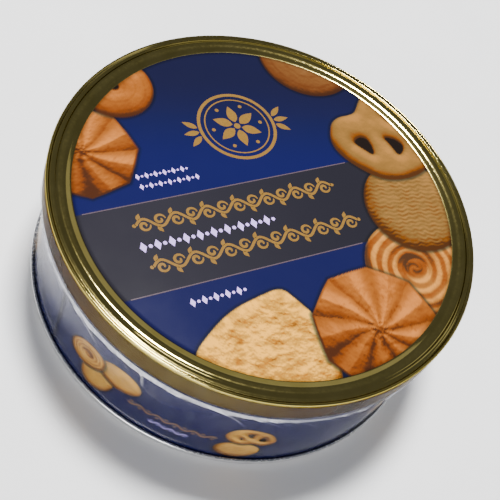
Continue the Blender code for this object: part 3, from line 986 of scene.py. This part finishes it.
def medallion(center, radius):
    """A generic round medallion: two rings, a six-petalled flower and two leaf sprays."""
    shapes = []
    for ring, width in ((radius, 0.085 * radius), (0.84 * radius, 0.035 * radius)):
        a = np.linspace(0, 2 * math.pi, 97)
        circle = np.stack([center[0] + ring * np.cos(a), center[1] + ring * np.sin(a)], 1)
        shapes.append(ribbon(circle, width))
    for turn in range(30, 390, 60):
        shapes.append(leaf(spoke(center, 0.12 * radius, turn), 0.52 * radius, 0.26 * radius, turn))
        shapes.append(disc(spoke(center, 0.66 * radius, turn + 30), 0.05 * radius))
    shapes.append(disc(center, 0.085 * radius))
    for side in (-1, 1):
        for i, spread in enumerate((-38, 0, 38)):
            base = (center[0] + side * 1.06 * radius, center[1] + 0.13 * radius * (i - 1))
            turn = spread if side > 0 else 180 - spread
            shapes.append(leaf(base, 0.42 * radius, 0.16 * radius, turn))
    return shapes


def lay_ink(name, shapes, z, material):
    """Joins flat shapes into one printed layer on the lid's panel."""
    verts, faces, count = [], [], 0
    for points, polygons in shapes:
        verts.append(np.column_stack([points, np.full(len(points), z)]))
        faces.extend(tuple(i + count for i in polygon) for polygon in polygons)
        count += len(points)
    obj = mesh_object(name, np.vstack(verts), faces, smooth=False)
    bm = bmesh.new()
    bm.from_mesh(obj.data)
    for face in bm.faces:
        if face.normal.z < 0:
            face.normal_flip()
    bm.to_mesh(obj.data)
    bm.free()
    dress(obj, material, "lid", "navy_print")


def rule(y, right):
    """A fine straight line along the band, from the panel's left edge to where the cookies start."""
    left = -math.sqrt((LID_RADIUS - 8.9) ** 2 - y ** 2)
    return ribbon(np.stack([np.linspace(left, right, 12), np.full(12, y)], 1), 0.34)


def make_ornament(gold_ink, white_ink, rule_ink):
    z = PANEL_Z + 2 * INK
    lay_ink("band_rules", [rule(BAND_HIGH, 30.5), rule(BAND_LOW, 21.5)], z, rule_ink)
    gold = vine_row(-42.5, 21.5, 0.9, 5.2, 5.0) + vine_row(-42.5, 24.0, -12.6, 5.2, 5.2)
    gold += medallion((1.6, 28.0), 12.2)
    white = bead_row(-43.0, -2.2, -6.2, 3.5, 2.1)
    white += bead_row(-36.0, -20.6, 16.3, 2.2, 1.4) + bead_row(-36.0, -18.6, 12.8, 2.2, 1.4)
    white += bead_row(-36.4, -20.6, -25.6, 2.8, 1.8)
    lay_ink("gold_ornament", gold, z, gold_ink)
    lay_ink("white_ornament", white, z, white_ink)


# ---- The contents ----
def make_cup(kind, material):
    """Pleated paper cup: fine pleats that open towards the mouth and fade into the flat foot.
    Gives the middle of the cup."""
    node = f"{kind}_cup"
    lo, hi = node_box(node)
    middle = (lo + hi) / 2
    pleats, foot, mouth, paper = 42, 23.3, 25.0, 0.12
    around = 10 * pleats
    angles = angles_round(around)
    rows = [(r, lo.z + 0.1) for r in (0.0, 8.0, 16.0, foot - 1.2)] + [(foot - 0.3, lo.z + 0.35)]
    rows += [(mix(foot, mouth, t), lo.z + 1.0 + (hi.z - lo.z - 1.1) * t) for t in np.linspace(0, 1, 16)]
    outer = []
    for r, z in rows:
        deep = 1.15 * smoothstep(foot - 5.0, foot, r) * (0.7 + 0.3 * smoothstep(lo.z, hi.z, z))
        wave = ripple(pleats * angles)
        reach = r - deep * wave ** 0.8
        droop = 0.45 * smoothstep(hi.z - 4, hi.z, z) * np.sin(3 * angles + middle.x)
        outer.append(polar(reach, angles, z - np.abs(droop)) + (middle.x, middle.y, 0))
    verts = np.array(outer).reshape(-1, 3)
    cup = mesh_object(f"{kind}_paper_cup", verts, grid_faces(len(rows), around, closed=True))
    tidy(cup)
    cup.modifiers.new("Paper", "SOLIDIFY").thickness = paper * MM
    dress(cup, material, f"{kind}_stack", "cup_paper", node)
    return middle


def polar_cookie(name, shape, radius, thickness, outline, hole=0.0, seed=7):
    """A cookie's mesh from its shape's height over a fan of rings, with a rounded flat underside."""
    around, rings = fine((300, 70))
    a, t = np.meshgrid(angles_round(around), 1 - (1 - np.linspace(0, 1, rings)) ** 1.5)
    r = mix(hole * radius, outline(a) * (radius - 0.5), t)
    _, height, browning_and_shade = shape(r * np.cos(a), r * np.sin(a), radius, seed)
    ends = smoothstep(0.0, 0.10, 1 - t) * (smoothstep(0.0, 0.10, t) if hole else 1)
    waist = 2.0                     # where the rounded underside meets the top
    top = waist + height * ends * (thickness - waist - 0.4) / (height * ends).max()
    under = waist - (waist - 0.1) * (1 - (1 - ends) ** 3)
    back = slice(-2, 0 if hole else None, -1)
    verts = np.concatenate([polar(r, a, top), polar(r, a, under)[back]])
    faces = grid_faces(len(verts), around, closed=True, looped=bool(hole))
    obj = mesh_object(name, verts.reshape(-1, 3), faces)
    number_vertices(obj, "browning_and_shade", np.concatenate([browning_and_shade, (0.35 + 0.3 * browning_and_shade)[back]]).ravel())
    tidy(obj)
    return obj


def pretzel_cookie(radius, thickness):
    """Three fused loops of dough, from tubes joined by a voxel remesh."""
    loop, tube, around, across = 0.36 * radius, 0.270 * radius, 48, 16
    a, b = np.meshgrid(angles_round(around), angles_round(across), indexing="ij")
    rr = loop + tube * np.cos(b)
    lift = thickness / 2 + (thickness / 2 - 0.35) * np.sin(b)
    quads = grid_faces(around, across, closed=True, looped=True)[:, [0, 3, 2, 1]]
    verts, faces = [], []
    for i, (x, y) in enumerate(((-0.40, 0.16), (0.40, 0.16), (0.0, -0.44))):
        points = [x * radius + rr * np.cos(a), y * radius + rr * np.sin(a) / 1.05, lift]
        verts.append(np.stack(points, -1).reshape(-1, 3))
        faces.append(quads + i * around * across)
    obj = mesh_object("pretzel_dough", np.vstack(verts), np.vstack(faces))
    remesh = obj.modifiers.new("Fuse", "REMESH")
    remesh.mode = "VOXEL"
    remesh.voxel_size = fine(0.55) * MM
    obj.modifiers.new("Soften", "SMOOTH").iterations = 8
    graph = bpy.context.evaluated_depsgraph_get()
    mesh = bpy.data.meshes.new_from_object(obj.evaluated_get(graph))
    bpy.data.objects.remove(obj)
    co = np.empty(len(mesh.vertices) * 3)
    mesh.vertices.foreach_get("co", co)
    co = co.reshape(-1, 3) / MM
    reach = np.hypot(co[:, 0], co[:, 1]).max()
    co[:, :2] *= (radius - 0.3) / reach
    co[:, 2] += np.where(co[:, 2] > thickness / 2, 0.35 * (fractal(co[:, 0], co[:, 1], 2.2, 77) - 0.6), 0)
    mesh.vertices.foreach_set("co", (co * MM).ravel())
    browning_and_shade = 0.10 + 0.55 * smoothstep(0.75 * thickness, 0.2 * thickness, co[:, 2])
    obj = new_object("pretzel_dough", mesh)
    number_vertices(obj, "browning_and_shade", browning_and_shade + 0.4 * (fractal(co[:, 0], co[:, 1], 5.0, 78) - 0.5))
    mesh.shade_smooth()
    return obj


def star_outline(angle):
    """The rosette's outline as a share of its radius: nine corners with nearly flat sides."""
    sector = 2 * math.pi / 9
    phase = (angle % sector) / sector - 0.5
    return mix(math.cos(sector / 2) / np.cos(phase * sector), 1.0, 0.15)


def round_outline(angle):
    return np.ones(np.shape(angle))


def make_stacks(paper, dough):
    """Four cups with four cookies of one kind in each, every cookie turned from the one below."""
    radius, thickness = 21.5, 8.0
    kinds = {
        "pretzel": pretzel_cookie(radius, thickness),
        "swirl_ring": polar_cookie("swirl_ring_dough", swirl, radius, thickness, round_outline, hole=0.20),
        "ribbed_round": polar_cookie("ribbed_round_dough", ribbed, radius, thickness, round_outline),
        "star_rosette": polar_cookie("star_rosette_dough", rosette, radius, thickness, star_outline),
    }
    for kind, pattern in kinds.items():
        middle = make_cup(kind, paper)
        for level in range(1, 5):
            node = f"{kind}_{level}"
            cookie = new_object(f"{kind}_cookie_{level}", pattern.data)
            cookie.location = Vector((middle.x, middle.y, node_box(node)[0].z)) * MM
            cookie.rotation_euler = (0, 0, math.radians(37 * (level - 1)))
            dress(cookie, dough, f"{kind}_stack", "baked_dough", node)
        bpy.data.objects.remove(pattern)


# ---- Stage, light and camera ----
def make_stage():
    bpy.ops.mesh.primitive_plane_add(size=6.0, location=(0, 0, -0.0002))
    floor = bpy.context.object
    floor.name = "floor"
    floor.data.materials.append(pale_floor())


def area_light(name, azimuth, elevation, distance, size, power):
    """A softbox aimed at the tin from an azimuth and an elevation in degrees, in metres and watts.
    Azimuth runs from +X towards +Y."""
    data = bpy.data.lights.new(name, "AREA")
    data.shape = "RECTANGLE"
    data.size, data.size_y = size
    data.energy = power
    a, e = math.radians(azimuth), math.radians(elevation)
    away = Vector((math.cos(a) * math.cos(e), math.sin(a) * math.cos(e), math.sin(e))) * distance
    lamp = new_object(name, data)
    lamp.location = away + Vector((0, 0, 0.02))
    lamp.rotation_euler = (-away).to_track_quat("-Z", "Y").to_euler()


def make_light():
    world = bpy.data.worlds.new("studio")
    bpy.context.scene.world = world
    world.use_nodes = True
    sky = world.node_tree.nodes["Background"].inputs
    sky["Color"].default_value = (0.86, 0.90, 1.0, 1)
    sky["Strength"].default_value = 0.16
    area_light("key", 64, 74, 1.2, (0.24, 0.24), 40.0)
    area_light("front", -143, 14, 1.5, (0.9, 0.5), 18.0)
    area_light("side", -20, 35, 1.6, (0.8, 0.5), 0.8)
    area_light("back", 40, 14, 1.6, (1.6, 0.9), 2.0)


def make_camera():
    """The photographer's place: 4.3 lid radii away, 49 degrees up, with the camera rolled."""
    data = bpy.data.cameras.new("camera")
    data.sensor_width = 36.0
    data.lens = 68.5
    data.clip_start, data.clip_end = 0.01, 20
    camera = new_object("camera", data)
    right = Vector((0.8663, -0.4059, 0.2913)).normalized()
    forward = Vector((0.4557, 0.4031, -0.7936)).normalized()
    up = right.cross(forward)
    lid_top = Vector((0, 0, TOP - 0.25))
    place = (Vector((-2.0753, -1.8686, 3.2342)) * LID_RADIUS + lid_top) * MM
    turn = Matrix((right, up, -forward)).transposed().to_4x4()
    camera.matrix_world = Matrix.Translation(place) @ turn
    bpy.context.scene.camera = camera


def main():
    make_camera()
    make_stage()
    make_light()
    gold = gold_lacquer()
    tinplate = bare_tinplate()
    make_lid_shell(gold)
    make_lid_print(varnished_print("lid_ink", PRINT_GLOSS))
    make_ornament(
        printed_ink("gold_ink", GOLD_INK, 0.80),
        printed_ink("white_ink", WHITE_INK, 0.86),
        printed_ink("rule_ink", RULE_LILAC, 0.85),
    )
    make_wall(varnished_print("wall_ink", WALL_GLOSS), tinplate)
    make_base(tinplate)
    make_film(clear_film())
    make_stacks(cup_paper(), baked_dough())


main()
